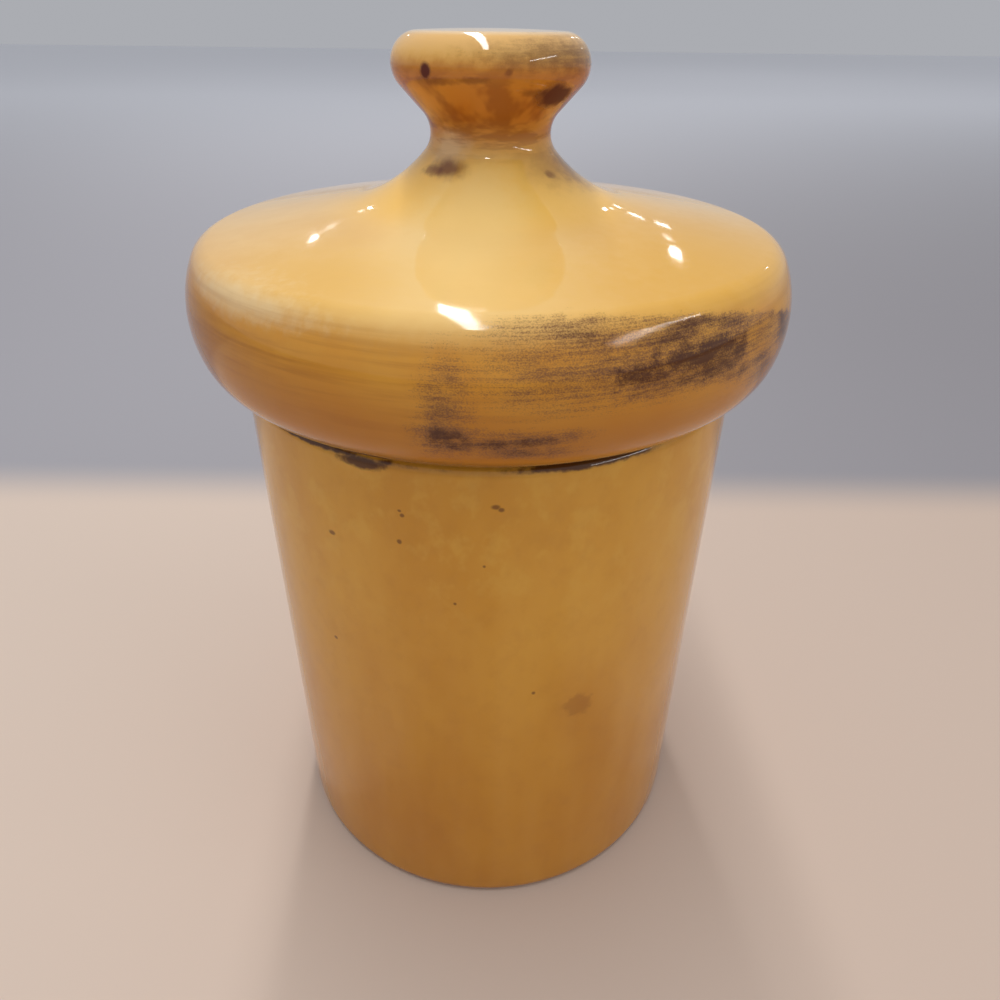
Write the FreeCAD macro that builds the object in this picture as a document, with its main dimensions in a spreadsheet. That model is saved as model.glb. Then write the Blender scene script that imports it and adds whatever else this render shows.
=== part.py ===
"""Ceramic tea canister: a straight-sided glazed jar under an overhanging bun-shaped lid with a waisted knob.

The jar stands on a foot ring and ends in a flat rim with a rounded outer edge. The lid is one turned piece,
knob and all, and rests on the rim. Shut, the canister can't be seen into, so both pieces are solid inside.
The origin is the middle of the underside of the foot, +Z runs up the axis, and every size is in millimetres.
"""
import FreeCAD, Part
import math
import os
import Sketcher

SIZES = (
    ("jar_diameter", 110.0, "outside of the jar's straight wall"),
    ("jar_height", 131.0, "from the foot to the flat of the rim"),
    ("rim_edge_radius", 2.5, "rounding of the rim's outer edge"),
    ("foot_edge_radius", 2.5, "rounding of the foot's outer edge"),
    ("foot_ring_width", 8.0, "from the jar's wall in to the recess under the foot"),
    ("foot_recess_depth", 2.0, "how far the recess goes up into the foot"),
    ("foot_recess_radius", 1.2, "rounding in the corner of the recess"),
    ("lid_overhang", 8.8, "how far the lid stands out past the jar's wall"),
    ("lid_seat_inset", 1.5, "from the jar's wall in to the edge of the lid's seat"),
    ("lid_widest_height", 15.0, "from the seat up to where the lid is widest"),
    ("lid_side_radius", 22.9, "curve of the lid's side, seen from the side"),
    ("lid_tuck_radius", 12.1, "curve that turns in under the side to the seat"),
    ("lid_shoulder_radius", 5.4, "tight curve between the lid's side and its top"),
    ("lid_shoulder_rise", 8.1, "from the widest place up to the centre of the shoulder's curve"),
    ("lid_slope", 10.1, "degrees by which the lid's top falls outwards"),
    ("knob_flare_radius", 30.8, "hollow curve from the lid's top up to the neck"),
    ("neck_diameter", 24.0, "the knob where it is narrowest"),
    ("neck_curve_radius", 5.3, "hollow curve round the neck"),
    ("neck_rise", 7.7, "up to the narrowest place from where the slope would meet the axis"),
    ("knob_diameter", 38.3, "the knob where it is widest"),
    ("knob_edge_radius", 5.4, "rounding between the knob's flank and its crown"),
    ("knob_flank_angle", 43.4, "degrees between the knob's flank and the axis"),
    ("knob_crown_radius", 300.0, "very shallow dome of the knob's top"),
)
SHEET = "Sizes"
SAME_PLACE = 0.001

doc = FreeCAD.newDocument("tea_canister")


# ---------------------------------------------------------------- the sheet of sizes

def make_sheet():
    """Put each size into a cell of its own, with its name as the cell's alias."""
    sheet = doc.addObject("Spreadsheet::Sheet", SHEET)
    for row, (alias, value, note) in enumerate(SIZES, start=1):
        sheet.set("A%d" % row, note)
        sheet.set("B%d" % row, repr(value))
        sheet.setAlias("B%d" % row, alias)
    doc.recompute()
    return sheet


sizes = make_sheet()


def size(alias):
    """The present value of one size."""
    return float(getattr(sizes, alias))


# ---------------------------------------------------------------- bodies, planes and sketches

def make_body(name):
    """A body whose label names the piece."""
    body = doc.addObject("PartDesign::Body", name)
    body.Label = name
    return body


def origin_plane(body, role):
    """One of the body's own origin planes, found by its role."""
    for feature in body.Origin.OriginFeatures:
        if feature.Role == role:
            return feature
    raise RuntimeError("no %s in %s" % (role, body.Label))


def make_sketch(body, name, role):
    """A sketch that lies on one of the body's origin planes."""
    sketch = body.newObject("Sketcher::SketchObject", name)
    sketch.AttachmentSupport = [(origin_plane(body, role), "")]
    sketch.MapMode = "FlatFace"
    return sketch


def drive(sketch, name, constraint, expression):
    """Add a dimension to a sketch and bind it to the sheet."""
    index = sketch.addConstraint(constraint)
    sketch.renameConstraint(index, name)
    sketch.setExpression("Constraints." + name, expression)


def make_disc_sketch(body, name, diameter, expression):
    """A circle about the origin of the XY plane."""
    sketch = make_sketch(body, name, "XY_Plane")
    circle = sketch.addGeometry(Part.Circle(FreeCAD.Vector(0, 0, 0), FreeCAD.Vector(0, 0, 1), diameter / 2))
    sketch.addConstraint(Sketcher.Constraint("Coincident", circle, 3, -1, 1))
    drive(sketch, "diameter", Sketcher.Constraint("Diameter", circle, diameter), expression)
    return sketch


def ring_edges(shape, radius, height):
    """Names of the circular edges of a shape that have this radius and lie at this height."""
    names = []
    for number, edge in enumerate(shape.Edges, start=1):
        curve = edge.Curve
        if not isinstance(curve, Part.Circle):
            continue
        if abs(curve.Radius - radius) < SAME_PLACE and abs(curve.Center.z - height) < SAME_PLACE:
            names.append("Edge%d" % number)
    if not names:
        raise RuntimeError("no edge of radius %g at height %g" % (radius, height))
    return names


def round_edges(body, name, base, edges, alias):
    """Round the named edges of a feature by one size of the sheet."""
    fillet = body.newObject("PartDesign::Fillet", name)
    fillet.Base = (base, edges)
    fillet.setExpression("Radius", "%s.%s" % (SHEET, alias))
    doc.recompute()
    return fillet


# ---------------------------------------------------------------- the jar

def make_jar():
    """A round pad with a shallow recess cut up into its foot, and three rounded edges."""
    body = make_body("jar")
    wall_radius = size("jar_diameter") / 2
    recess_radius = wall_radius - size("foot_ring_width")

    outline = make_disc_sketch(body, "jar_outline", 2 * wall_radius, SHEET + ".jar_diameter")
    wall = body.newObject("PartDesign::Pad", "jar_wall")
    wall.Profile = outline
    wall.setExpression("Length", SHEET + ".jar_height")
    doc.recompute()

    recess_expression = "{0}.jar_diameter - 2 * {0}.foot_ring_width".format(SHEET)
    recess_outline = make_disc_sketch(body, "foot_recess_outline", 2 * recess_radius, recess_expression)
    recess = body.newObject("PartDesign::Pocket", "foot_recess")
    recess.Profile = recess_outline
    recess.Reversed = True
    recess.setExpression("Length", SHEET + ".foot_recess_depth")
    doc.recompute()
    if recess.Shape.Volume >= wall.Shape.Volume:
        raise RuntimeError("the recess took nothing off the foot")

    rim = ring_edges(recess.Shape, wall_radius, size("jar_height"))
    feature = round_edges(body, "rim_edge", recess, rim, "rim_edge_radius")
    foot = ring_edges(feature.Shape, wall_radius, 0.0)
    feature = round_edges(body, "foot_edge", feature, foot, "foot_edge_radius")
    corner = ring_edges(feature.Shape, recess_radius, size("foot_recess_depth"))
    round_edges(body, "foot_recess_corner", feature, corner, "foot_recess_radius")
    return body


# ---------------------------------------------------------------- points of the lid's profile

def along(start, direction, distance):
    """The point at a distance from another in a direction."""
    return (start[0] + direction[0] * distance, start[1] + direction[1] * distance)


def towards(start, end):
    """The unit direction from one point to another."""
    length = math.dist(start, end)
    return ((end[0] - start[0]) / length, (end[1] - start[1]) / length)


def circles_cross(first, first_radius, second, second_radius):
    """Where two circles cross, on the left of the line from the first centre to the second."""
    gap = math.dist(first, second)
    forward = towards(first, second)
    ahead = (gap ** 2 + first_radius ** 2 - second_radius ** 2) / (2 * gap)
    aside = math.sqrt(first_radius ** 2 - ahead ** 2)
    return along(along(first, forward, ahead), (-forward[1], forward[0]), aside)


def line_leaves_circle(start, direction, centre, radius):
    """Where a line leaves a circle, going along its direction."""
    ahead = (centre[0] - start[0]) * direction[0] + (centre[1] - start[1]) * direction[1]
    nearest = along(start, direction, ahead)
    half_chord = math.sqrt(radius ** 2 - math.dist(nearest, centre) ** 2)
    return along(nearest, direction, half_chord)


def slope_apex(point):
    """Where the slope of the lid's top, carried inwards from a point on it, meets the axis."""
    return (0.0, point[1] + point[0] * math.tan(math.radians(size("lid_slope"))))


def lid_profile():
    """The pieces of the lid's half profile, from the crown out and down to the seat.

    A point is its distance from the axis and its height above the seat. Each piece is its name, its turn
    (1 to the left, -1 to the right, 0 for a straight run), its centre, its first point and its last point.
    """
    slope = math.radians(size("lid_slope"))
    flank = math.radians(size("knob_flank_angle"))
    down_slope = (math.cos(slope), -math.sin(slope))
    off_slope = (math.sin(slope), math.cos(slope))
    off_flank = (math.cos(flank), -math.sin(flank))

    side_radius = size("lid_side_radius")
    tuck_radius = size("lid_tuck_radius")
    shoulder_radius = size("lid_shoulder_radius")
    flare_radius = size("knob_flare_radius")
    neck_radius = size("neck_curve_radius")
    edge_radius = size("knob_edge_radius")
    crown_radius = size("knob_crown_radius")

    wall_radius = size("jar_diameter") / 2
    seat_edge = (wall_radius - size("lid_seat_inset"), 0.0)
    side = (wall_radius + size("lid_overhang") - side_radius, size("lid_widest_height"))
    tuck = circles_cross(side, side_radius - tuck_radius, seat_edge, tuck_radius)
    shoulder_rise = size("lid_shoulder_rise")
    shoulder_out = math.sqrt((side_radius - shoulder_radius) ** 2 - shoulder_rise ** 2)
    shoulder = (side[0] + shoulder_out, side[1] + shoulder_rise)
    slope_end = along(shoulder, off_slope, shoulder_radius)
    apex = slope_apex(slope_end)

    neck = (size("neck_diameter") / 2 + neck_radius, apex[1] + size("neck_rise"))
    flare = line_leaves_circle(along(apex, off_slope, flare_radius), down_slope,
                               neck, flare_radius - neck_radius)
    flank_foot = along(neck, off_flank, -neck_radius)
    edge_out = size("knob_diameter") / 2 - edge_radius
    flank_length = (edge_out + edge_radius * math.cos(flank) - flank_foot[0]) / math.sin(flank)
    if flank_length <= 0:
        raise ValueError("the knob isn't wide enough for its neck and its two curves")
    flank_head = along(flank_foot, (math.sin(flank), math.cos(flank)), flank_length)
    edge = along(flank_head, off_flank, -edge_radius)
    crown = (0.0, edge[1] - math.sqrt((crown_radius - edge_radius) ** 2 - edge[0] ** 2))

    top = along(crown, (0.0, 1.0), crown_radius)
    crown_end = along(edge, towards(crown, edge), edge_radius)
    flare_start = along(neck, towards(flare, neck), neck_radius)
    slope_start = along(flare, off_slope, -flare_radius)
    side_start = along(shoulder, towards(side, shoulder), shoulder_radius)
    tuck_start = along(tuck, towards(side, tuck), tuck_radius)
    return (
        ("crown", -1, crown, top, crown_end),
        ("knob_edge", -1, edge, crown_end, flank_head),
        ("flank", 0, None, flank_head, flank_foot),
        ("neck", 1, neck, flank_foot, flare_start),
        ("flare", 1, flare, flare_start, slope_start),
        ("slope", 0, None, slope_start, slope_end),
        ("shoulder", -1, shoulder, slope_end, side_start),
        ("side", -1, side, side_start, tuck_start),
        ("tuck", -1, tuck, tuck_start, seat_edge),
    )


# ---------------------------------------------------------------- the lid

def vector(point):
    """A point of the profile as a vector in the sketch's plane."""
    return FreeCAD.Vector(point[0], point[1], 0)


def add_piece(sketch, turn, centre, first, last):
    """Draw one piece of the profile, and give its index and the numbers of its first and last ends."""
    if turn == 0:
        return sketch.addGeometry(Part.LineSegment(vector(first), vector(last))), 1, 2
    circle = Part.Circle(vector(centre), FreeCAD.Vector(0, 0, 1), math.dist(centre, first))
    first_angle = math.atan2(first[1] - centre[1], first[0] - centre[0])
    last_angle = math.atan2(last[1] - centre[1], last[0] - centre[0])
    if turn > 0:
        return sketch.addGeometry(Part.ArcOfCircle(circle, first_angle, last_angle)), 1, 2
    return sketch.addGeometry(Part.ArcOfCircle(circle, last_angle, first_angle)), 2, 1


def draw_lid_profile(sketch):
    """Draw the half profile as a closed chain in which each piece runs smoothly into the next."""
    profile = lid_profile()
    drawn = {}
    previous = None
    for name, turn, centre, first, last in profile:
        drawn[name] = add_piece(sketch, turn, centre, first, last)
        if previous:
            index, _, end = drawn[previous]
            sketch.addConstraint(Sketcher.Constraint("Tangent", index, end, drawn[name][0], drawn[name][1]))
        previous = name
    top = profile[0][3]
    seat_edge = profile[-1][4]
    drawn["seat"] = add_piece(sketch, 0, None, seat_edge, (0.0, 0.0))
    drawn["axis"] = add_piece(sketch, 0, None, (0.0, 0.0), top)
    for before, after in (("tuck", "seat"), ("seat", "axis"), ("axis", "crown")):
        sketch.addConstraint(Sketcher.Constraint(
            "Coincident", drawn[before][0], drawn[before][2], drawn[after][0], drawn[after][1]))
    return drawn


def constrain_lid_profile(sketch, drawn):
    """Tie the drawn profile to the axis, the seat and the sizes of the sheet."""
    curves = (
        ("crown", "knob_crown_radius"),
        ("knob_edge", "knob_edge_radius"),
        ("neck", "neck_curve_radius"),
        ("flare", "knob_flare_radius"),
        ("shoulder", "lid_shoulder_radius"),
        ("side", "lid_side_radius"),
        ("tuck", "lid_tuck_radius"),
    )
    centres = {name: centre for name, _, centre, _, _ in lid_profile()}
    ends = {name: last for name, _, _, _, last in lid_profile()}
    apex_height = slope_apex(ends["slope"])[1]
    seat_radius = size("jar_diameter") / 2 - size("lid_seat_inset")

    sketch.addConstraint(Sketcher.Constraint("Coincident", drawn["seat"][0], 2, -1, 1))
    sketch.addConstraint(Sketcher.Constraint("Horizontal", drawn["seat"][0]))
    sketch.addConstraint(Sketcher.Constraint("Vertical", drawn["axis"][0]))
    sketch.addConstraint(Sketcher.Constraint("PointOnObject", drawn["crown"][0], 3, -2))
    for name, alias in curves:
        drive(sketch, alias, Sketcher.Constraint("Radius", drawn[name][0], size(alias)),
              "%s.%s" % (SHEET, alias))

    apex = sketch.addGeometry(Part.Point(FreeCAD.Vector(0, apex_height, 0)), True)
    sketch.addConstraint(Sketcher.Constraint("PointOnObject", apex, 1, -2))
    sketch.addConstraint(Sketcher.Constraint("PointOnObject", apex, 1, drawn["slope"][0]))
    drive(sketch, "slope", Sketcher.Constraint("Angle", drawn["slope"][0], 2, -1, 2,
                                               math.radians(size("lid_slope"))),
          SHEET + ".lid_slope * 1 deg")
    drive(sketch, "flank_angle", Sketcher.Constraint("Angle", drawn["flank"][0], 2, -2, 1,
                                                     math.radians(size("knob_flank_angle"))),
          SHEET + ".knob_flank_angle * 1 deg")

    drive(sketch, "seat_radius", Sketcher.Constraint("DistanceX", -1, 1, drawn["seat"][0], 1, seat_radius),
          "{0}.jar_diameter / 2 - {0}.lid_seat_inset".format(SHEET))
    drive(sketch, "side_out", Sketcher.Constraint("DistanceX", -1, 1, drawn["side"][0], 3, centres["side"][0]),
          "{0}.jar_diameter / 2 + {0}.lid_overhang - {0}.lid_side_radius".format(SHEET))
    drive(sketch, "side_up", Sketcher.Constraint("DistanceY", -1, 1, drawn["side"][0], 3, centres["side"][1]),
          SHEET + ".lid_widest_height")
    drive(sketch, "neck_out", Sketcher.Constraint("DistanceX", -1, 1, drawn["neck"][0], 3, centres["neck"][0]),
          "{0}.neck_diameter / 2 + {0}.neck_curve_radius".format(SHEET))
    drive(sketch, "shoulder_up", Sketcher.Constraint("DistanceY", -1, 1, drawn["shoulder"][0], 3,
                                                     centres["shoulder"][1]),
          "{0}.lid_widest_height + {0}.lid_shoulder_rise".format(SHEET))
    drive(sketch, "neck_up", Sketcher.Constraint("DistanceY", apex, 1, drawn["neck"][0], 3, size("neck_rise")),
          SHEET + ".neck_rise")
    drive(sketch, "edge_out", Sketcher.Constraint("DistanceX", -1, 1, drawn["knob_edge"][0], 3,
                                                  centres["knob_edge"][0]),
          "{0}.knob_diameter / 2 - {0}.knob_edge_radius".format(SHEET))


def make_lid():
    """The lid and its knob, turned as one piece and set on the flat of the rim."""
    body = make_body("lid")
    sketch = make_sketch(body, "lid_profile", "XZ_Plane")
    drawn = draw_lid_profile(sketch)
    constrain_lid_profile(sketch, drawn)
    doc.recompute()
    if not sketch.FullyConstrained:
        raise RuntimeError("the lid's profile isn't held by its dimensions")
    turned = body.newObject("PartDesign::Revolution", "turned_lid")
    turned.Profile = sketch
    turned.ReferenceAxis = (sketch, ["V_Axis"])
    turned.Angle = 360.0
    body.setExpression("Placement.Base.z", SHEET + ".jar_height")
    doc.recompute()
    return body


# ---------------------------------------------------------------- checks and files

def check_document(pieces):
    """Stop if any object failed or any piece isn't one valid solid."""
    for item in doc.Objects:
        if "Invalid" in item.State or "Error" in item.State:
            raise RuntimeError("%s failed: %s" % (item.Label, item.State))
    for piece in pieces:
        shape = piece.Shape
        if shape.isNull() or not shape.isValid() or len(shape.Solids) != 1:
            raise RuntimeError("%s isn't one valid solid" % piece.Label)


def write_pieces(pieces):
    """Write each piece to a file that carries its name."""
    os.makedirs("parts", exist_ok=True)
    for piece in pieces:
        box = piece.Shape.optimalBoundingBox()
        piece.Shape.exportStep("parts/%s.step" % piece.Label)
        print("%-4s %7.1f cm3, %6.2f wide, from %6.2f to %6.2f up" % (
            piece.Label, piece.Shape.Volume / 1000, box.XLength, box.ZMin, box.ZMax))


pieces = [make_jar(), make_lid()]
doc.recompute()
check_document(pieces)
write_pieces(pieces)
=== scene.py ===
# %% [markdown]
# # A glazed tea canister
# The canister is two pieces of turned earthenware under a glossy amber glaze: a straight jar, and an
# overhanging lid with a waisted knob. The CAD frame already says where they stand and how large they are,
# so this lesson loads that frame first and keeps its box.

# %% Load the frame
import bpy
import math
from mathutils import Matrix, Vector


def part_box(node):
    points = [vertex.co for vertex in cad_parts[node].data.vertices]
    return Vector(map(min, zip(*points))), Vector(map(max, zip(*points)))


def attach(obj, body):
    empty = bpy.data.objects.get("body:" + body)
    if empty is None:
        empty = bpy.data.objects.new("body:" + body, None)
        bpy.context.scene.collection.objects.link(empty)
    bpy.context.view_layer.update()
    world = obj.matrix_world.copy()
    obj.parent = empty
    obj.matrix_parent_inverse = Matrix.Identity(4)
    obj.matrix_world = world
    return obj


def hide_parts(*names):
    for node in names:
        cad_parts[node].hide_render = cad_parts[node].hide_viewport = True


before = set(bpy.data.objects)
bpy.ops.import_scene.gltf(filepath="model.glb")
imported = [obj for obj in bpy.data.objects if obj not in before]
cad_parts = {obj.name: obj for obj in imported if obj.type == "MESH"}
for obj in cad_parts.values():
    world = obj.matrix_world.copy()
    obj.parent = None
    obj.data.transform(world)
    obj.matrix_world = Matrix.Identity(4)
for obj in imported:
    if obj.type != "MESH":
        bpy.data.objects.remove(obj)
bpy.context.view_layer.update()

MM = 0.001
print("nodes:", sorted(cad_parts))

# %% [markdown]
# ## The camera
# A small canister seen from just in front and a little above the knob looks wide at the top and narrow at
# the foot. A long lens far away would keep the jar's sides parallel and lose that look, so a short lens
# stands close to it. The camera looks down steeply and is rolled by less than a degree, as a hand holds it.

# %% Place the camera
LENS_MM = 27.04
SENSOR_MM = 36.0
CAMERA_PLACE = (0.0028, -0.1672, 0.1966)
LOOKS_DOWN = math.radians(32.73)
ROLL = math.radians(0.712)

scene = bpy.context.scene
camera_data = bpy.data.cameras.new("camera")
camera_data.lens = LENS_MM
camera_data.sensor_width = SENSOR_MM
camera_data.clip_start = 0.01
camera = bpy.data.objects.new("camera", camera_data)
scene.collection.objects.link(camera)
camera.rotation_mode = "XYZ"
camera.matrix_world = (Matrix.Translation(CAMERA_PLACE)
                       @ Matrix.Rotation(math.radians(90) - LOOKS_DOWN, 4, "X")
                       @ Matrix.Rotation(ROLL, 4, "Z"))
scene.camera = camera
scene.view_settings.view_transform = "Standard"
print("camera at", tuple(round(value, 3) for value in CAMERA_PLACE))

# %% [markdown]
# ## An outline to turn
# A potter turns each piece about its axis, so each is drawn as half an outline and spun. The outline could
# be a list of points, but those would have to be kept smooth by eye. Here it is walked like a path, by
# straight runs and curves, each curve with its radius and how far it turns. Walking keeps every curve
# tangent to the next one, which is what makes the highlights flow over the joins.

# %% Walk along an outline
def walk(start, heading, steps):
    """Points of an outline in millimetres, each a distance from the axis and a height."""
    out, up = start
    points = [(out, up)]
    for kind, amount, turn, parts in steps:
        if kind == "corner":
            heading += turn
            continue
        for _ in range(parts):
            if kind == "straight":
                length = amount / parts
            else:
                length = 2 * amount * math.sin(math.radians(abs(turn) / parts / 2))
                heading += turn / parts / 2
            out += length * math.cos(math.radians(heading))
            up += length * math.sin(math.radians(heading))
            points.append((out, up))
            if kind == "curve":
                heading += turn / parts / 2
    return points


quarter = walk((0.0, 0.0), 0.0, [("curve", 10.0, 90, 12)])
print("a quarter turn of radius 10 ends at", [round(value, 2) for value in quarter[-1]])

# %% [markdown]
# ## From outline to turned piece
# A plane is added and its corners are merged into one vertex, which is then extruded step by step along
# the outline. Spin turns the line round the axis. A full turn leaves a double row of vertices where it
# closes and a pile of them on the axis, so doubles are merged before the normals are made to point out.

# %% Turn a piece
ROUND_STEPS = 256
MERGE_WITHIN = 0.01 * MM
SHARP_FROM = math.radians(35)


def turn_piece(name, points):
    """A closed turned piece whose outline runs from the axis at the top to the axis below."""
    bpy.ops.object.select_all(action="DESELECT")
    bpy.ops.mesh.primitive_plane_add(size=0.01, location=(0, 0, 0))
    piece = bpy.context.object
    piece.name = name
    bpy.ops.object.mode_set(mode="EDIT")
    bpy.ops.mesh.select_all(action="SELECT")
    bpy.ops.mesh.merge(type="CENTER")
    bpy.ops.transform.translate(value=(points[0][0] * MM, 0, points[0][1] * MM))
    for before, after in zip(points, points[1:]):
        move = ((after[0] - before[0]) * MM, 0, (after[1] - before[1]) * MM)
        bpy.ops.mesh.extrude_region_move(TRANSFORM_OT_translate={"value": move})
    bpy.ops.mesh.select_all(action="SELECT")
    bpy.ops.mesh.spin(steps=ROUND_STEPS, angle=math.tau, center=(0, 0, 0), axis=(0, 0, 1))
    bpy.ops.mesh.select_all(action="SELECT")
    bpy.ops.mesh.remove_doubles(threshold=MERGE_WITHIN)
    bpy.ops.mesh.normals_make_consistent(inside=False)
    bpy.ops.object.mode_set(mode="OBJECT")
    bpy.ops.object.shade_smooth_by_angle(angle=SHARP_FROM)
    print(name, len(piece.data.vertices), "vertices,", len(piece.data.polygons), "faces")
    return piece


print("each piece is spun in", ROUND_STEPS, "steps")

# %% [markdown]
# ## The jar
# The jar goes straight up from a rounded foot to a rounded rim. Below, a shallow recess leaves a ring to
# stand on. A cylinder with bevelled edges would do for the wall but not for the recess, so the jar is
# turned in one go. The lid hides the flat of the rim, but the piece is closed all the same. Its radius and
# height come from the frame. Sizes on the canister are in millimetres, and those of the floor and the lamps
# in metres.

# %% Turn the jar
jar_low, jar_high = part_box("jar")
jar_radius = jar_high.x / MM
jar_height = jar_high.z / MM
EDGE = 2.5
RING = 8.0
RECESS = 2.0
RECESS_CORNER = 1.2
jar_outline = walk((0.0, jar_height), 0.0, [
    ("straight", jar_radius - EDGE, 0, 6),
    ("curve", EDGE, -90, 14),
    ("straight", jar_height - 2 * EDGE, 0, 24),
    ("curve", EDGE, -90, 14),
    ("straight", RING - EDGE, 0, 3),
    ("corner", 0, -90, 0),
    ("straight", RECESS - RECESS_CORNER, 0, 2),
    ("curve", RECESS_CORNER, 90, 8),
    ("straight", jar_radius - RING - RECESS_CORNER, 0, 5),
])
jar = turn_piece("jar_glazed", jar_outline)
print("jar", round(jar_radius * 2, 1), "mm across,", round((jar_high.z - jar_low.z) / MM, 1), "mm tall")

# %% [markdown]
# ## The lid
# From the top down: a nearly flat crown, the knob's tight edge, its flank, the hollow neck and the flare
# into the lid's gentle slope; then the tight shoulder, the full side and the tuck under it to the seat.
# Knob and lid are one piece of ware, so they are one outline. It is walked twice: once to see how wide the
# lid comes out, and again with the slope's length put right, so that it is as wide as the frame says.

# %% Turn the lid
lid_low, lid_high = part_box("lid")
SLOPE_RUN = 27.0
SLOPE_ANGLE = 10.1
SEAT_STEPS = (0.8, 0.5, 0.2, 0.0)


def lid_steps(slope_run):
    """The lid's outline, walked from the middle of the crown to the seat."""
    return walk((0.0, lid_high.z / MM), 0.0, [
        ("curve", 300.0, -2.7, 6),     # crown
        ("curve", 5.4, -130.7, 36),    # knob's edge
        ("straight", 6.15, 0, 5),      # knob's flank
        ("curve", 5.3, 85.6, 20),      # neck
        ("curve", 30.8, 37.7, 16),     # flare
        ("straight", slope_run, 0, 14),
        ("curve", 5.4, -52.3, 16),     # shoulder
        ("curve", 22.9, -44.3, 18),    # side
        ("curve", 12.1, -62.5, 18),    # tuck
    ])


widest = max(out for out, up in lid_steps(SLOPE_RUN))
put_right = (lid_high.x / MM - widest) / math.cos(math.radians(SLOPE_ANGLE))
lid_outline = lid_steps(SLOPE_RUN + put_right)
seat_radius = lid_outline[-1][0]
lid_outline[-1] = (seat_radius, lid_low.z / MM)
lid_outline += [(seat_radius * part, lid_low.z / MM) for part in SEAT_STEPS]
lid = turn_piece("lid_glazed", lid_outline)
print("widest at", round(max(out for out, up in lid_outline), 2), "mm, seat", round(seat_radius, 2), "mm")

# %% [markdown]
# ## Writing shader sums
# Glaze is painted with procedural nodes. Wiring hundreds of them by hand is hard to read, so a small class
# wraps a socket, and ordinary sums on it add the Math nodes. One method makes every other node.

# %% Sums on sockets
class Value:
    """A node's output that can be used in sums."""

    def __init__(self, nodes, socket):
        self.nodes = nodes
        self.socket = socket

    def output(self, name):
        """Another output of the same node."""
        return Value(self.nodes, self.socket.node.outputs[name])

    def __add__(self, other):
        return self.nodes.math("ADD", self, other)

    def __radd__(self, other):
        return self.nodes.math("ADD", other, self)

    def __sub__(self, other):
        return self.nodes.math("SUBTRACT", self, other)

    def __rsub__(self, other):
        return self.nodes.math("SUBTRACT", other, self)

    def __mul__(self, other):
        return self.nodes.math("MULTIPLY", self, other)

    def __rmul__(self, other):
        return self.nodes.math("MULTIPLY", other, self)

    def __truediv__(self, other):
        return self.nodes.math("DIVIDE", self, other)

    def __rtruediv__(self, other):
        return self.nodes.math("DIVIDE", other, self)


print("sums:", [name.strip("_") for name in vars(Value) if name.startswith("__r")])

# %% [markdown]
# ## Colours
# A colour is easiest to name as it looks on a screen, but a shader works with the light that it stands
# for. The two differ by a curve, so each colour is turned once, here, when it is written down.

# %% Turn a screen colour into light
def shade(red, green, blue):
    """A colour from 0 to 255 as it looks on a screen, as the light it stands for."""
    parts = [part / 255 for part in (red, green, blue)]
    return tuple(part / 12.92 if part <= 0.04045 else ((part + 0.055) / 1.055) ** 2.4
                 for part in parts) + (1.0,)


print("an amber:", [round(part, 3) for part in shade(200, 150, 80)])

# %% [markdown]
# ## Nodes by name
# A finish is a tree of nodes. Each could be placed and wired in the shader editor, but the same few
# patterns come back again and again, so the ones that a glaze needs get a name: a soft step between two
# values, a mix of two colours, and clouds. The room's light is built from the same tree later on.

# %% The nodes of a finish
class Nodes:
    """A tree of nodes, emptied and then filled by name."""

    def __init__(self, tree):
        self.tree = tree
        self.tree.nodes.clear()

    def node(self, kind, settings=None, sockets=None, output=0):
        """Any node: its settings first, then what its sockets are given."""
        made = self.tree.nodes.new(kind)
        for name, setting in (settings or {}).items():
            setattr(made, name, setting)
        for name, given in (sockets or {}).items():
            if isinstance(given, Value):
                self.tree.links.new(given.socket, made.inputs[name])
            else:
                made.inputs[name].default_value = given
        return Value(self, made.outputs[output]) if made.outputs else None

    def math(self, operation, *given):
        """A Math node on one, two or three numbers."""
        return self.node("ShaderNodeMath", {"operation": operation}, dict(enumerate(given)))

    def between(self, low, high, value):
        """0 below low, 1 above high, and a soft step from one to the other."""
        return self.node("ShaderNodeMapRange", {"interpolation_type": "SMOOTHSTEP"},
                         {"Value": value, "From Min": low, "From Max": high})

    def mix(self, first, second, amount):
        """The first colour where amount is 0, the second where it is 1."""
        return self.node("ShaderNodeMix", {"data_type": "RGBA"}, {0: amount, 6: first, 7: second}, 2)


class Paint(Nodes):
    """A material whose patterns are measured in millimetres on the piece."""

    def __init__(self, name):
        self.material = bpy.data.materials.new(name)
        self.material.use_nodes = True
        super().__init__(self.material.node_tree)
        self.place = self.node("ShaderNodeTexCoord", output="Object")

    def stretched(self, x, y, z, shift=(0, 0, 0)):
        """The piece's coordinates times x, y and z, so that a pattern can be drawn out."""
        return self.node("ShaderNodeMapping", {}, {
            "Vector": self.place, "Location": shift, "Scale": (x / MM, y / MM, z / MM)})

    def noise(self, vector, scale, detail, roughness):
        """A cloudy pattern, mostly between 0.3 and 0.7."""
        return self.node("ShaderNodeTexNoise", {}, {
            "Vector": vector, "Scale": scale, "Detail": detail, "Roughness": roughness})

    def clouds(self, vector, scale, detail, roughness, low=0.30, high=0.70):
        """A cloudy pattern, spread until it is 0 below low and 1 above high."""
        return self.between(low, high, self.noise(vector, scale, detail, roughness))

    def surface(self, **sockets):
        """The shader that the finish ends in, given its sockets by name."""
        named = {name.replace("_", " "): given for name, given in sockets.items()}
        shader = self.node("ShaderNodeBsdfPrincipled", {}, named)
        self.node("ShaderNodeOutputMaterial", {}, {"Surface": shader})
        print(self.material.name, len(self.tree.nodes), "nodes")
        return self.material


print("ways to paint:", [name for name in vars(Paint) if not name.startswith("_")])

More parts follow.
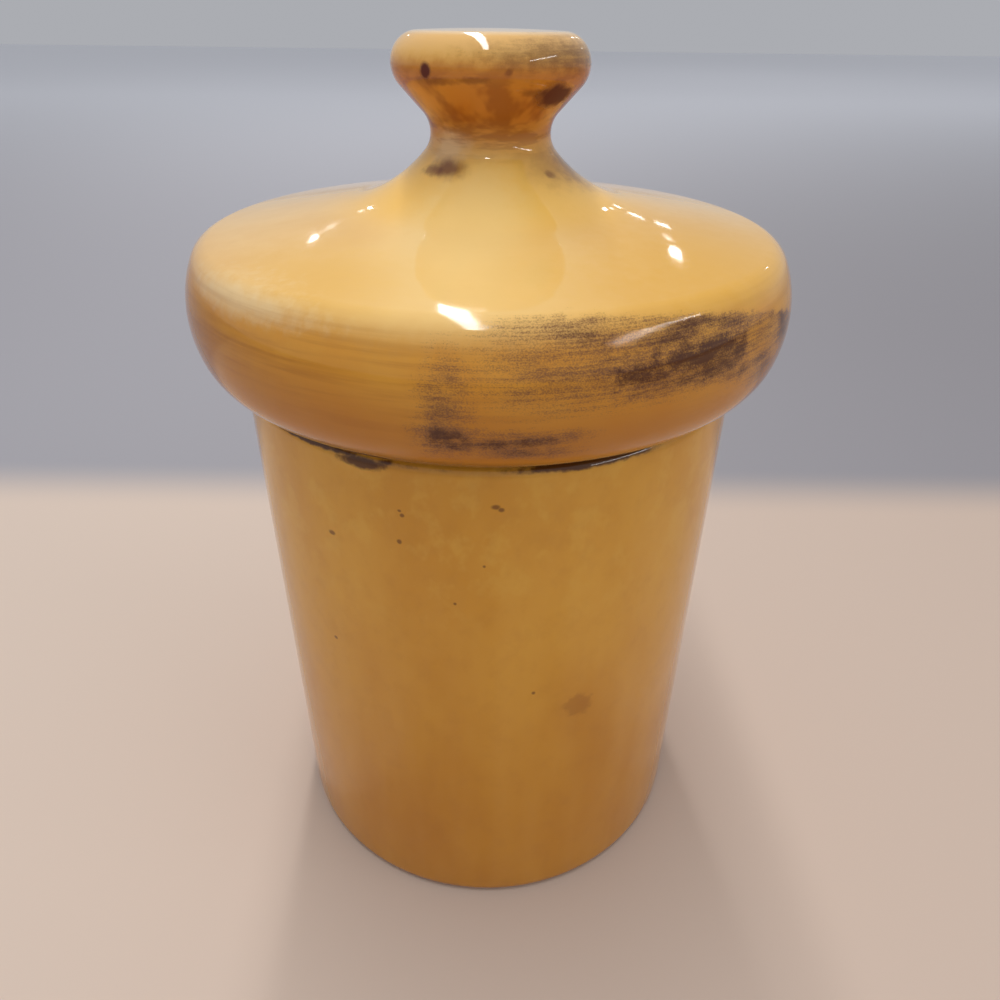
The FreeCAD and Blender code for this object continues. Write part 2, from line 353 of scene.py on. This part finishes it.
# %% [markdown]
# ## Where a mark sits
# Marks in the glaze are placed by how far round they are from the front, in degrees, and by their height
# in millimetres. A painted image could hold them too, but it would need a seam and would blur close up.
# The edge of each mark is moved in and out by a noise, so no mark is a plain ellipse. A brush or a finger
# goes round the pot, so its streaks are long one way and thin the other: their noise reads x and y slowly,
# and the way down the outline quickly.

# %% Places on a turned piece
GLAZE_IOR = 1.5
GLAZE_ROUGHNESS = 0.05


class Turned(Paint):
    """A paint that knows the angle, height and distance from the axis on a turned piece."""

    def __init__(self, name):
        super().__init__(name)
        x = self.node("ShaderNodeSeparateXYZ", {}, {0: self.place})
        y, z = x.output("Y"), x.output("Z")
        self.x, self.y = x / MM, y / MM
        self.degrees = self.math("ARCTAN2", x, 0 - y) * math.degrees(1)
        self.height = z / MM
        self.out = self.math("SQRT", x * x + y * y) / MM
        self.down = self.out - self.height
        self.even = self.stretched(1, 1, 1)
        self.wander = self.noise(self.even, 0.45, 3.0, 0.6) - 0.5

    def streaks(self, slow, quick, detail, roughness, shift=0.0):
        """A noise drawn out round the piece: slow is per millimetre round, quick per millimetre down."""
        drawn = self.node("ShaderNodeCombineXYZ", {}, {
            0: self.x * slow + shift, 1: self.y * slow, 2: self.down * quick})
        return self.noise(drawn, 1.0, detail, roughness)

    def distance(self, degrees, height, wide, tall, tilt):
        """How far a point is from a mark's middle, as a share of its half width and half height."""
        turned = self.math("WRAP", self.degrees - degrees, 180.0, -180.0)
        across = turned / wide
        along = (self.height - height - turned * tilt) / tall
        return self.math("SQRT", across * across + along * along)

    def mark(self, degrees, height, wide, tall, tilt=0.0, *, soft, ragged):
        """1 inside a mark and 0 outside it; soft and ragged say how its edge fades and wanders."""
        away = self.distance(degrees, height, wide, tall, tilt) + self.wander * ragged
        return 1 - self.between(1 - soft, 1 + soft, away)

    def marks(self, places, soft, ragged):
        """The strongest of several marks, each with its degrees, height, half sizes and perhaps a tilt."""
        together = self.mark(*places[0], soft=soft, ragged=ragged)
        for place in places[1:]:
            together = self.math("MAXIMUM", together, self.mark(*place, soft=soft, ragged=ragged))
        return together

    def tinted(self, colour, tints):
        """The colour with soft tints laid over it, one after the other."""
        for place, soft, ragged, tint, strength in tints.values():
            colour = self.mix(colour, shade(*tint), self.mark(*place, soft=soft, ragged=ragged) * strength)
        print("tints:", ", ".join(tints))
        return colour

    def handled(self, tall, amount):
        """The glaze's roughness: smooth, and a little less so where hands have smeared it."""
        smears = self.clouds(self.stretched(1, 1, tall, (0, 0, 60)), 0.06, 3.0, 0.6, 0.35, 0.75)
        return smears * amount + GLAZE_ROUGHNESS

    def glaze(self, colour, relief, roughness):
        """A clear, glossy glaze over the colour."""
        bump = self.node("ShaderNodeBump", {}, {"Height": relief, "Strength": 1.0, "Distance": MM})
        return self.surface(Base_Color=colour, Roughness=roughness, Normal=bump, IOR=GLAZE_IOR)


print("ways to mark:", [name for name in vars(Turned) if not name.startswith("_")])

# %% [markdown]
# ## Dry-brushed brown
# The decorator drags a nearly dry brush of brown over the glaze. Where the brush is full it covers, and
# where it is dry only the ridges take colour. A noise alone would give even speckles all over, so the
# brown is drawn as a load, from 0 to 1, and it covers where the load is higher than what a streaky noise
# needs: a full load covers all, a low one leaves thin dashes.

# %% Drag a dry brush
MANGANESE = shade(72, 28, 6)
THIN_MANGANESE = shade(118, 76, 50)
DASHES_SHARE = 0.42
HAZE = 0.55


def dry_brush(paint, load):
    """How much brown covers the glaze for a load of the brush."""
    dashes = paint.between(0.30, 0.70, paint.streaks(0.09, 1.9, 3.0, 0.65))
    grain = paint.clouds(paint.stretched(1, 1, 1.3), 3.2, 2.0, 0.7, 0.28, 0.72)
    needed = dashes * DASHES_SHARE + grain * (1 - DASHES_SHARE)
    haze = load * load * HAZE
    touched = paint.between(0.0, 0.15, load)
    return (paint.between(-0.40, 0.66, load - needed) * (1 - haze) + haze) * touched


print("brown, full:", [round(part, 3) for part in MANGANESE[:3]])
print("brown, thin:", [round(part, 3) for part in THIN_MANGANESE[:3]])

# %% [markdown]
# ## The jar's glaze
# The amber glaze is a little cloudy. It is lighter where it runs thin near the rim, and deeper towards
# the foot where it gathers. One flat amber would look like plastic, so two pairs of ambers are mixed by
# height and by clouds, and slow drapes and a mottle near the rim are laid over them.

# %% Cloud the jar's glaze
paint = Turned("jar_amber_glaze")
HIGH_AMBERS = shade(211, 147, 44), shade(223, 163, 58)
LOW_AMBERS = shade(191, 123, 20), shade(201, 135, 28)
DRAPED_AMBER = shade(226, 168, 78)
MOTTLED_AMBER = shade(228, 174, 72)
FRECKLED_AMBER = shade(170, 106, 30)
clouds = paint.clouds(paint.stretched(1, 1, 0.45), 0.045, 3.0, 0.55)
upper = paint.mix(*HIGH_AMBERS, clouds)
lower = paint.mix(*LOW_AMBERS, clouds)
colour = paint.mix(lower, upper, paint.between(20, 112, paint.height))
drapes = paint.clouds(paint.stretched(1, 1, 0.12, (90, 0, 0)), 0.11, 2.0, 0.5)
colour = paint.mix(colour, DRAPED_AMBER, drapes * 0.16)
mottle = paint.clouds(paint.stretched(1, 1, 0.8, (0, 30, 0)), 0.16, 3.0, 0.6, 0.48, 0.66)
colour = paint.mix(colour, MOTTLED_AMBER, mottle * paint.between(80, 118, paint.height) * 0.45)
freckled = paint.clouds(paint.stretched(1, 1, 0.8, (0, 0, 15)), 0.20, 3.0, 0.6, 0.45, 0.75)
colour = paint.mix(colour, FRECKLED_AMBER, freckled * 0.12)
print("clouded with", len(paint.tree.nodes), "nodes so far")

# %% [markdown]
# ## Stains and specks on the jar
# Brown was wiped along the rim, and specks of iron came through the glaze in the kiln. The long rim stain
# on the left is also painted shadow of the gap under the lid. The ones that matter are placed one by one,
# because a scatter would never put them right. The small crumbs all over are a Voronoi pattern that shows
# only where a slow noise lets it. The glaze thins to brown at the foot.

# %% Mark the jar
RIM_STAINS_AND_SEAM_SHADE = (  # degrees, height, half width, half height
    (-24, 129.1, 5, 1.1), (-50, 129.9, 32, 0.55), (20, 130.1, 14, 0.8), (75, 129.6, 16, 1.0),
    (128, 129.2, 11, 1.4), (-150, 129.5, 20, 1.1), (-98, 130.0, 18, 0.8))
SPECKS = (  # degrees, height, half width, half height
    (2.2, 122.9, 0.8, 0.5), (3.2, 122.3, 0.6, 0.45), (-16, 119.5, 0.45, 0.4), (-16.5, 120.4, 0.4, 0.3),
    (-17, 113.3, 0.5, 0.5), (-33.5, 110.5, 0.8, 0.5), (-37, 80.7, 0.5, 0.4), (11, 74.7, 0.45, 0.45),
    (0, 109.5, 0.3, 0.3), (-6, 100, 0.3, 0.3))
JAR_TINTS = {"blotch": ((22, 68, 3.2, 3.2), 0.35, 1.6, (148, 84, 16), 0.42)}
IRON = shade(104, 54, 10)
FOOT_BROWN = shade(150, 100, 60)
colour = paint.tinted(colour, JAR_TINTS)
specks = paint.marks(SPECKS, soft=0.45, ragged=0.9)
crumbs = paint.node("ShaderNodeTexVoronoi", {}, {"Vector": paint.even, "Scale": 0.075})
some_places = paint.clouds(paint.stretched(1, 1, 1, (0, 70, 0)), 0.03, 1.0, 0.5, 0.50, 0.58)
crumbs = (1 - paint.between(0.018, 0.04, crumbs)) * some_places
colour = paint.mix(colour, IRON, paint.math("MAXIMUM", specks, crumbs * 0.6) * 0.75)
# Rim stains: brown on the rim, and on the left painted shadow of the gap under the lid.
colour = paint.mix(colour, MANGANESE, paint.marks(RIM_STAINS_AND_SEAM_SHADE, soft=0.35, ragged=1.3) * 0.92)
near_foot = 1 - paint.between(1.4, 3.4, paint.height + paint.wander * 1.5)
colour = paint.mix(colour, FOOT_BROWN, near_foot * 0.6)
print(len(RIM_STAINS_AND_SEAM_SHADE), "rim stains,", len(SPECKS), "specks")

# %% [markdown]
# ## Bare clay under the foot
# A glazed foot would stick to the kiln shelf, so it is wiped back to the clay. The bare part is all that
# lies below the foot's edge, and the recess inside the ring. Clay is matt and grainy beside the glaze.

# %% Bare the foot and finish the jar
CLAYS = shade(206, 178, 142), shade(188, 156, 118)
CLAY_ROUGHNESS = 0.85
below_edge = 1 - paint.between(0.25, 0.5, paint.height)
ring_inside = jar_radius - RING
inside_ring = 1 - paint.between(ring_inside + 0.2, ring_inside + 0.6, paint.out)
in_recess = inside_ring * (1 - paint.between(RECESS + 0.3, RECESS + 0.6, paint.height))
bare = paint.math("MAXIMUM", below_edge, in_recess)
clay_grain = paint.noise(paint.even, 0.9, 4.0, 0.7)
colour = paint.mix(colour, paint.mix(*CLAYS, paint.between(0.4, 0.6, clay_grain)), bare)
orange_peel = paint.noise(paint.stretched(1, 1, 0.6), 0.09, 2.0, 0.5)
relief = orange_peel * 0.08 + paint.wander * 0.006 + clay_grain * bare * 0.12
roughness = paint.handled(0.5, 0.05) * (1 - bare) + bare * CLAY_ROUGHNESS
jar.data.materials.append(paint.glaze(colour, relief, roughness))

# %% [markdown]
# ## The lid's glaze
# On the lid the glaze is thin and bright on the slope, paler still where the shoulder breaks it, and deep
# on the side and round the neck. On the flare round the neck and at the front of the slope, the amber is
# also painted paler as painted light. These zones could be separate materials, but glaze has no hard
# borders, so one material mixes them by height and by soft tints.

# %% Glaze the lid
paint = Turned("lid_amber_glaze")
height = paint.height
SHOULDER = 154, 160.5
NECK_REACH = 22, 38
LOW_SIDE = 139, 153
POOL = 133.2, 135.6
SLOPE_AMBERS = shade(234, 184, 104), shade(241, 195, 120)
SIDE_AMBERS = shade(220, 150, 44), shade(230, 166, 60)
NECK_AMBER_AND_PAINTED_LIGHT = shade(248, 196, 94)
SLOPE_TINTS = {  # place, softness, raggedness, colour, strength
    # painted light front: painted light, a paler amber where the knob's reflection would darken the slope's
    # front
    "painted light front": ((-6, 166.0, 25, 8.0), 0.7, 0.5, (253, 216, 142), 0.75),
    "golden right": ((55, 160.6, 34, 4.0), 0.9, 0.6, (224, 165, 34), 0.80),
    "golden left": ((-34, 160.2, 17, 2.2), 0.8, 0.9, (232, 176, 62), 0.55),
    "cream left": ((-43, 157.0, 14, 2.0), 0.8, 1.4, (248, 218, 164), 0.75)}
clouds = paint.clouds(paint.even, 0.05, 3.0, 0.55)
top = paint.mix(*SLOPE_AMBERS, clouds)
# On the flare round the neck the amber is painted brighter: painted light.
top = paint.mix(top, NECK_AMBER_AND_PAINTED_LIGHT, 1 - paint.between(*NECK_REACH, paint.out))
side = paint.mix(*SIDE_AMBERS, clouds)
on_side = 1 - paint.between(*SHOULDER, height)
colour = paint.tinted(paint.mix(top, side, on_side), SLOPE_TINTS)

# %% Deepen the lid's side
LEFT_TINTS = {"left shade": ((-64, 146, 24, 9), 0.8, 0.4, (150, 92, 40), 0.45)}
# The tint on the lower right of the side is painted shade, darker amber where the lid lies in shade.
RIGHT_PAINTED_SHADE = {"painted shade right": ((72, 139, 20, 6), 0.8, 0.4, (124, 72, 30), 0.55)}
OLIVE_BROWN = shade(176, 112, 34)
LOW_AMBER = shade(172, 99, 8)
POOLED_BROWN_AND_SHADE = shade(88, 42, 14)
brushed = paint.between(0.40, 0.72, paint.streaks(0.03, 0.6, 4.0, 0.55, 17))
olive = paint.mark(-38, 148.5, 30, 5.5, soft=0.8, ragged=0.5)
colour = paint.mix(colour, OLIVE_BROWN, brushed * on_side * 0.26 + olive * (brushed * 0.3 + 0.22))
colour = paint.tinted(colour, LEFT_TINTS)
colour = paint.mix(colour, LOW_AMBER, (1 - paint.between(*LOW_SIDE, height)) * 0.66)
colour = paint.tinted(colour, RIGHT_PAINTED_SHADE)
# Under the tuck: pooled glaze and painted shade of the gap over the jar, reaching higher on the left.
pool_and_shade_edge = height + paint.x * 0.03 + paint.wander * 0.8
colour = paint.mix(colour, POOLED_BROWN_AND_SHADE, (1 - paint.between(*POOL, pool_and_shade_edge)) * 0.85)

# %% [markdown]
# ## The knob
# The knob is dipped darker than the lid, with a pale crown where the glaze ran off its edge; the crown's
# cream is also painted reflection of the bright room above. Brown drops and smudges sit on its flank and
# round the neck. They differ in how sharp they are, so they come in three lots: thick spots, softer stains
# and faint smudges. Thick brown dries matt and hardly mirrors.

# %% Colour the knob
NECK_TO_FLANK = 172, 180
UNDER_EDGE = 188, 193
OVER_EDGE = 189.5, 193.0
CROWN = 193.8, 194.6
KNOB_AMBER = shade(192, 118, 36)
EDGE_CREAM = shade(236, 186, 112)
CROWN_CREAM_AND_SHEEN = shade(242, 208, 160)
STREAKED_BROWN = shade(132, 62, 14)
KNOB_TINTS = {"milky neck": ((-38, 175.6, 17, 2.6), 0.7, 0.8, (236, 204, 160), 0.7)}
knob_body = paint.between(*NECK_TO_FLANK, height)
drift = height + paint.wander * 2.2
colour = paint.mix(colour, KNOB_AMBER, knob_body * (1 - paint.between(*UNDER_EDGE, drift)) * 0.9)
colour = paint.mix(colour, EDGE_CREAM, paint.between(*OVER_EDGE, drift))
# The crown: glaze run thin, with its pale cream partly painted reflection of the room above.
colour = paint.mix(colour, CROWN_CREAM_AND_SHEEN, paint.between(*CROWN, height))
colour = paint.tinted(colour, KNOB_TINTS)
streaked = paint.between(0.45, 0.62, paint.streaks(0.12, 0.5, 3.0, 0.6, 5))
streaked = streaked * knob_body * (1 - paint.between(186, 190, height))
colour = paint.mix(colour, STREAKED_BROWN, streaked * 0.6)

# %% Spot the knob and the neck
THICK_SPOTS = (  # degrees, height, half width, half height, tilt
    (-36, 188.6, 3.4, 1.35), (46, 184.6, 15, 2.0, -0.02), (150, 186.0, 14, 1.5), (-120, 187.5, 6, 1.2))
SOFT_STAINS = ((-32, 172.3, 13, 1.3), (-31, 171.9, 6, 0.8), (-150, 172.0, 14, 1.0), (100, 171.5, 14, 0.9))
FAINT_SMUDGES = (
    (10, 188.6, 1.7, 0.6), (32, 185.2, 12, 0.7, -0.03), (46, 171.2, 4, 0.5), (-45, 171.6, 9, 0.7),
    (-8, 187.3, 9, 0.5), (-30, 187.0, 12, 0.6), (120, 188.8, 3.2, 0.8), (-100, 184.0, 20, 0.8))
NECK_TINTS = {
    "stained neck": ((54, 172.4, 20, 2.6), 0.9, 1.2, (160, 104, 40), 0.5),
    "neck's edge": ((78, 171.8, 15, 3.2), 0.8, 1.4, (124, 72, 32), 0.6)}
FAINT_BROWN = shade(112, 54, 22)
SOFT_BROWN = shade(106, 44, 14)
THICK_BROWN = shade(82, 16, 12)
spots = paint.marks(THICK_SPOTS, soft=0.4, ragged=1.0)
colour = paint.tinted(colour, NECK_TINTS)
colour = paint.mix(colour, FAINT_BROWN, paint.marks(FAINT_SMUDGES, soft=0.6, ragged=1.6) * 0.6)
colour = paint.mix(colour, SOFT_BROWN, paint.marks(SOFT_STAINS, soft=0.8, ragged=1.0) * 0.85)
colour = paint.mix(colour, THICK_BROWN, spots * 0.97)
print(len(THICK_SPOTS), "spots,", len(SOFT_STAINS), "stains,", len(FAINT_SMUDGES), "smudges")

# %% Brush the knob's edge
EDGE_BROWNS = shade(112, 68, 38), shade(92, 58, 36)
front_load = paint.mark(52, 191.1, 46, 2.3, soft=0.8, ragged=1.2) * 0.82
back_load = paint.mark(-140, 191.5, 40, 1.9, soft=0.8, ragged=1.0) * 0.8
edge_load = paint.math("MAXIMUM", front_load, back_load)
smudge = paint.between(0.25, 0.65, paint.streaks(0.25, 0.9, 3.0, 0.6, 8))
colour = paint.mix(colour, EDGE_BROWNS[0], edge_load * (smudge * 0.45 + 0.36))
colour = paint.mix(colour, EDGE_BROWNS[1], dry_brush(paint, edge_load * 0.8) * 0.36)
print("the lid has", len(paint.tree.nodes), "nodes so far")

# %% [markdown]
# ## The dry patch on the shoulder
# A wide brush was pressed on the shoulder and dragged round, and left a dark heart, dry ends and a drip
# down the side. One big mark would be too even, so the patch is the strongest of many overlapping loads,
# broken by a noise. Its upper edge follows the shoulder and falls away from its middle.

# %% Load the brush
PATCH_TOP = 159.3
PATCH_MIDDLE = 10
PATCH_FALL = 0.0028
PATCH_LEFT = -7, 8
PATCH_RIGHT = 62, 80
PATCH_LOW = 142, 149
EVEN_LOAD = 0.54
FRONT_ENDS = 100, 110
PATCH_LOADS = (  # degrees, height, half width, half height, load
    (34, 151.2, 12, 3.4, 1.06), (38, 149.2, 9, 3.0, 1.00), (24, 150.0, 8, 3.2, 0.92),
    (34, 155.0, 24, 3.0, 0.76), (54, 153.6, 16, 2.4, 0.68), (17, 156.2, 14, 2.8, 0.64),
    (30, 147.8, 14, 2.2, 0.78), (46, 146.4, 9, 2.2, 0.72), (51, 143.4, 5, 2.4, 0.64),
    (60.5, 150.2, 5.5, 5.2, 0.92), (72, 142.5, 7, 4.0, 0.70), (10, 149, 10, 3.0, 0.54),
    (-5, 146, 3.8, 8.0, 0.62), (-5, 140.9, 4.6, 3.0, 0.92), (5, 140.3, 9, 1.9, 0.80),
    (7, 137.9, 7, 1.5, 0.78), (165, 151, 34, 6.5, 0.84), (-160, 143.5, 15, 4.0, 0.68))
from_middle = paint.degrees - PATCH_MIDDLE
upper_edge = PATCH_TOP - from_middle * from_middle * PATCH_FALL
under_edge = 1 - paint.between(-1.2, 0.4, height - upper_edge + paint.wander * 2.0)
across = paint.between(*PATCH_LEFT, paint.degrees) * (1 - paint.between(*PATCH_RIGHT, paint.degrees))
load = across * paint.between(*PATCH_LOW, height) * EVEN_LOAD
for *place, strength in PATCH_LOADS:
    load = paint.math("MAXIMUM", load, paint.mark(*place, soft=0.8, ragged=1.0) * strength)
broken = paint.clouds(paint.stretched(0.8, 0.8, 1.6, (0, 0, 25)), 0.22, 3.0, 0.6) * 0.42 + 0.76
away_from_front = paint.between(*FRONT_ENDS, paint.math("ABSOLUTE", paint.degrees))
load = load * broken * paint.math("MAXIMUM", under_edge, away_from_front)
print(len(PATCH_LOADS), "loads of the brush")

# %% [markdown]
# ## Brown over the lid, and its relief
# Thin brown lets the amber warm it and thick brown is nearly black, so the colour follows the load. The
# glaze over it is smooth: faint rings from the turning and a slight orange peel make the highlights
# waver, and hardly more. That much relief is too fine for the mesh, so it is a bump.

# %% Finish the lid
brown = dry_brush(paint, load)
tremble = paint.noise(paint.stretched(1, 1, 1, (40, 0, 0)), 1.8, 2.0, 0.6) - 0.5
heavy = paint.between(0.50, 1.0, load + tremble * 0.5)
colour = paint.mix(colour, paint.mix(THIN_MANGANESE, MANGANESE, heavy), brown * 0.96)
rings = paint.streaks(0.012, 0.22, 1.0, 0.5, 31)
orange_peel = paint.noise(paint.even, 0.10, 2.0, 0.5)
relief = rings * 0.02 + orange_peel * 0.03 + brown * 0.006 + paint.wander * 0.002
roughness = paint.handled(1, 0.04) + spots * 0.60
lid.data.materials.append(paint.glaze(colour, relief, roughness))

# %% [markdown]
# ## Pieces and bodies
# Each new piece stands for one node of the frame, takes its place, and rides on the same body. The jar
# and the lid could be two bodies, but the shut canister is one thing to pick up, so they share one.

# %% Tie the pieces to the frame
for piece, node, slot in ((jar, "jar", "jar_glaze"), (lid, "lid", "lid_glaze")):
    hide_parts(node)
    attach(piece, "root")
    print(piece.name, "replaces", node)

# %% [markdown]
# ## The floor
# A canister like this stands on a pale table with a grey wall behind, and its glossy sides mirror both. A
# wall would block the light from behind, so there is only one flat floor: pale and warm round the
# canister, plain grey beyond a soft line behind it, and paler again far away, where it meets the room.
# Near and behind, the floor is painted darker to the right: painted shade, as of light from the left.

# %% Lay the floor
FLOOR_SIZE = 12
FLOOR_ROUGHNESS = 0.7
GREY_FROM = 0.128, 0.172
FAR_FROM = 0.3, 2.4
WARM_LEFT, WARM_RIGHT_IN_PAINTED_SHADE = shade(215, 195, 179), shade(200, 178, 162)
GREY_LEFT, GREY_RIGHT_IN_PAINTED_SHADE = shade(160, 157, 162), shade(144, 140, 144)
FAR_GREY = shade(226, 226, 232)
bpy.ops.object.select_all(action="DESELECT")
bpy.ops.mesh.primitive_plane_add(size=FLOOR_SIZE, location=(0, 0, 0))
floor = bpy.context.object
floor.name = "floor"
paint = Paint("pale_floor")
across = paint.node("ShaderNodeSeparateXYZ", {}, {0: paint.place})
back = across.output("Y")
# Darker to the right: painted shade on the floor.
to_painted_shade_right = paint.between(-0.30, 0.35, across)
near = paint.mix(WARM_LEFT, WARM_RIGHT_IN_PAINTED_SHADE, to_painted_shade_right)
far = paint.mix(GREY_LEFT, GREY_RIGHT_IN_PAINTED_SHADE, to_painted_shade_right)
far = paint.mix(far, FAR_GREY, paint.between(*FAR_FROM, back))
sweep = paint.mix(near, far, paint.between(*GREY_FROM, back))
floor.data.materials.append(paint.surface(Base_Color=sweep, Roughness=FLOOR_ROUGHNESS))
print("floor", FLOOR_SIZE, "m across")

# %% [markdown]
# ## The room
# The room is a soft light from all round. Turning it down would dim the canister as well, so only the tone
# that the camera sees straight is a little dimmer. That makes the line where the floor ends less bright;
# from low down it still shows.

# %% Light the room
ROOM_STRENGTH = 0.72
ROOM_LIGHT = shade(212, 215, 220)
ROOM_SEEN = shade(198, 200, 206)
world = bpy.data.worlds.new("pale_room")
scene.world = world
world.use_nodes = True
room = Nodes(world.node_tree)
seen = room.node("ShaderNodeLightPath", output="Is Camera Ray")
tone = room.mix(ROOM_LIGHT, ROOM_SEEN, seen)
glow = room.node("ShaderNodeBackground", {}, {"Color": tone, "Strength": ROOM_STRENGTH})
room.node("ShaderNodeOutputWorld", {}, {"Surface": glow})
print("room strength", ROOM_STRENGTH)

# %% [markdown]
# ## The lamps
# On the real glaze the ceiling's lamps show as bright shapes: one long tube over the canister, one to the
# right, and rows of small ones far behind. A few big softboxes would light it as well, but would mirror
# as broad patches, so each lamp is a flat panel of its own, all at one height and facing down.

# %% Hang the lamps
LAMP_HEIGHT = 1.155
LAMPS = (  # name, x, y, width, length, turn in degrees, watts
    ("main", -0.102, 0.43, 0.085, 1.96, 2.1, 9.9),
    ("right", 1.85, -0.95, 0.08, 1.7, 0.0, 11.5),
    ("behind_right", 0.785, 2.18, 0.035, 0.22, -15.5, 0.42),
    ("behind_right_dim", 0.87, 2.60, 0.03, 0.16, -10.0, 0.06),
    ("behind_left", -0.893, 2.39, 0.03, 0.15, 14.0, 0.33),
    ("behind_left_dim", -0.90, 2.66, 0.03, 0.10, 0.0, 0.06),
    ("far_right_1", 0.90, 3.37, 0.06, 0.12, 0.0, 0.28),
    ("far_right_2", 1.03, 3.33, 0.06, 0.12, 0.0, 0.28),
    ("far_left_1", -0.90, 3.14, 0.03, 0.10, 0.0, 0.15),
    ("side_right", 1.81, 2.49, 0.05, 0.10, 0.0, 0.4),
)
for name, x, y, width, length, turn, watts in LAMPS:
    lamp_data = bpy.data.lights.new("lamp_" + name, "AREA")
    lamp_data.shape = "RECTANGLE"
    lamp_data.size, lamp_data.size_y = width, length
    lamp_data.energy = watts
    lamp = bpy.data.objects.new("lamp_" + name, lamp_data)
    scene.collection.objects.link(lamp)
    lamp.location = (x, y, LAMP_HEIGHT)
    lamp.rotation_euler = (0, 0, math.radians(turn))
print(len(LAMPS), "lamps")

# %% [markdown]
# ## Within the frame
# The finished pieces may not outgrow the frame's.
